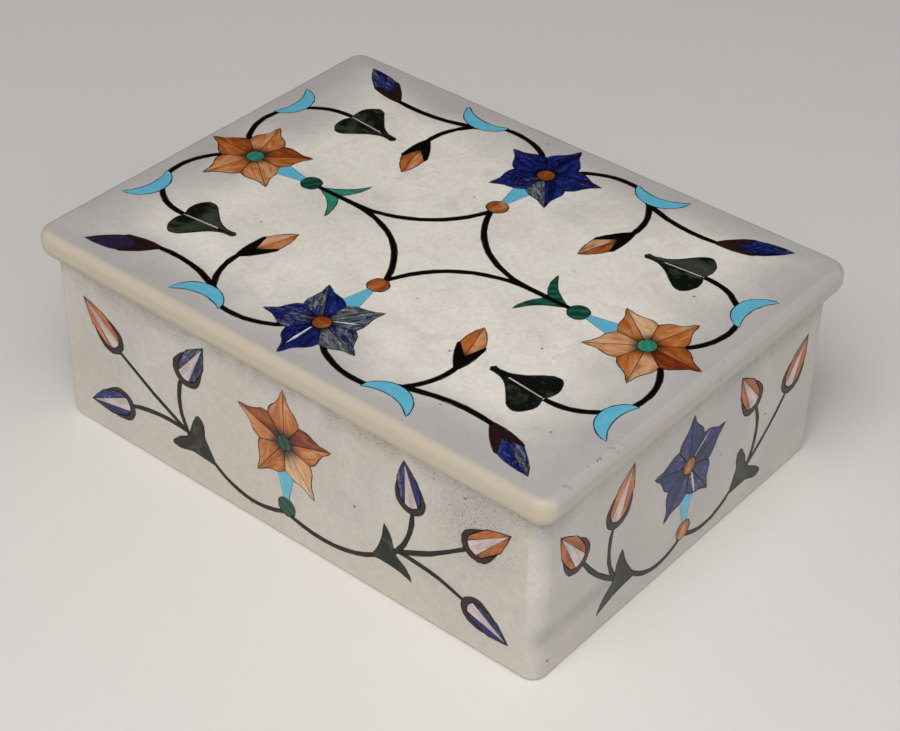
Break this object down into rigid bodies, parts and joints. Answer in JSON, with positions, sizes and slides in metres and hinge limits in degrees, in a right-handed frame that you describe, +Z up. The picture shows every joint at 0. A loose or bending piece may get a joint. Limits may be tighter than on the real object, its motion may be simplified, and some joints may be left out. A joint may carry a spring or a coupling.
{
  "type": "inlaid marble box",
  "caption": "Low rectangular marble box with a lift-off lid, inlaid on the lid and all four sides with stone flowers, buds, leaves and scrolling stems.",
  "frame": {"origin": "centre of the flat base, on the surface that the box stands on", "axes": "+Z up, +X along the long side, the front face with the carnelian flower looks along -Y"},
  "size_m": [0.1016, 0.0762, 0.0359],
  "materials": {
    "white_marble": "polished, slightly translucent",
    "lapis_lazuli": "polished",
    "carnelian": "polished",
    "turquoise": "polished",
    "malachite": "polished",
    "dark_serpentine": "polished",
    "pale_shell": "polished",
    "black_slate": "polished",
    "brown_jasper": "polished"
  },
  "bodies": {
    "box": {"back_bud_rims": "brown_jasper", "back_calyx": "turquoise", "back_carnelian_slivers": "carnelian", "back_discs": "malachite", "back_flower_petals": "carnelian", "back_lapis_slivers": "lapis_lazuli", "back_leaf_forks": "dark_serpentine", "back_shell_wedges": "pale_shell", "back_stems": "black_slate", "box_body": "white_marble", "front_bud_rims": "brown_jasper", "front_calyx": "turquoise", "front_carnelian_slivers": "carnelian", "front_discs": "malachite", "front_flower_petals": "carnelian", "front_lapis_slivers": "lapis_lazuli", "front_leaf_forks": "dark_serpentine", "front_shell_wedges": "pale_shell", "front_stems": "black_slate", "left_bud_rims": "brown_jasper", "left_calyx": "turquoise", "left_carnelian_slivers": "carnelian", "left_discs": "carnelian", "left_flower_petals": "lapis_lazuli", "left_leaf_forks": "dark_serpentine", "left_shell_wedges": "pale_shell", "left_stems": "black_slate", "right_bud_rims": "brown_jasper", "right_calyx": "turquoise", "right_carnelian_slivers": "carnelian", "right_discs": "carnelian", "right_flower_petals": "lapis_lazuli", "right_leaf_forks": "dark_serpentine", "right_shell_wedges": "pale_shell", "right_stems": "black_slate"},
    "lid": {"lid_back_flower_petals": "lapis_lazuli", "lid_bud_stems": "black_slate", "lid_calyxes": "turquoise", "lid_carnelian_beads": "carnelian", "lid_carnelian_bud_cups": "black_slate", "lid_carnelian_bud_gems": "carnelian", "lid_carnelian_centres": "carnelian", "lid_crescents": "turquoise", "lid_flower_stems": "black_slate", "lid_front_flower_petals": "lapis_lazuli", "lid_heart_stems": "black_slate", "lid_heart_veins": "pale_shell", "lid_hearts": "dark_serpentine", "lid_lapis_bud_cups": "brown_jasper", "lid_lapis_bud_gems": "lapis_lazuli", "lid_leaves": "malachite", "lid_left_flower_petals": "carnelian", "lid_locating_panel": "white_marble", "lid_malachite_beads": "malachite", "lid_malachite_centres": "malachite", "lid_right_flower_petals": "carnelian", "lid_scrolls": "black_slate", "lid_slab": "white_marble"}
  },
  "joints": [
    {"name": "lid_lift", "type": "slide", "parent": "box", "child": "lid", "axis": [0, 0, 1], "range_m": [0, 0.05]}
  ]
}
